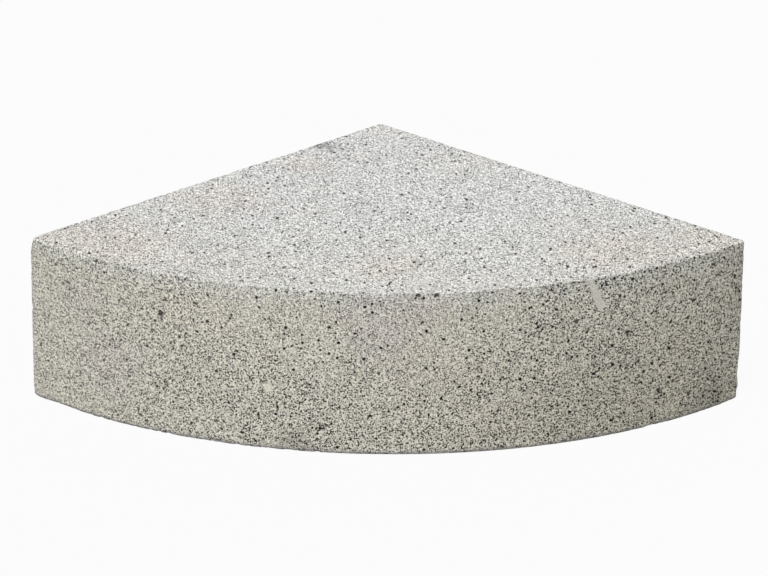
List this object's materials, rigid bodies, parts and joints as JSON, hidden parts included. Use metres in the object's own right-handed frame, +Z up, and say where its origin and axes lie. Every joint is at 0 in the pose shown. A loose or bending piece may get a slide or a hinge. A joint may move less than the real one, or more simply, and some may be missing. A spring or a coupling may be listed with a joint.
{
  "type": "quadrant kerb stone",
  "caption": "Quarter-round concrete kerb stone with a flat bed and two straight joint faces, for turning a line of kerbs through a right angle.",
  "frame": {"origin": "middle of the stone's bounding box, on the bed", "axes": "+Z up from the bed to the top; the middle of the round face looks along -Y and the back corner points along +Y; X runs from one end of the round face to the other"},
  "size_m": [0.6322, 0.4484, 0.15],
  "materials": {
    "pressed_concrete": "matte"
  },
  "bodies": {
    "root": {"quadrant_kerb": "pressed_concrete"}
  },
  "joints": []
}
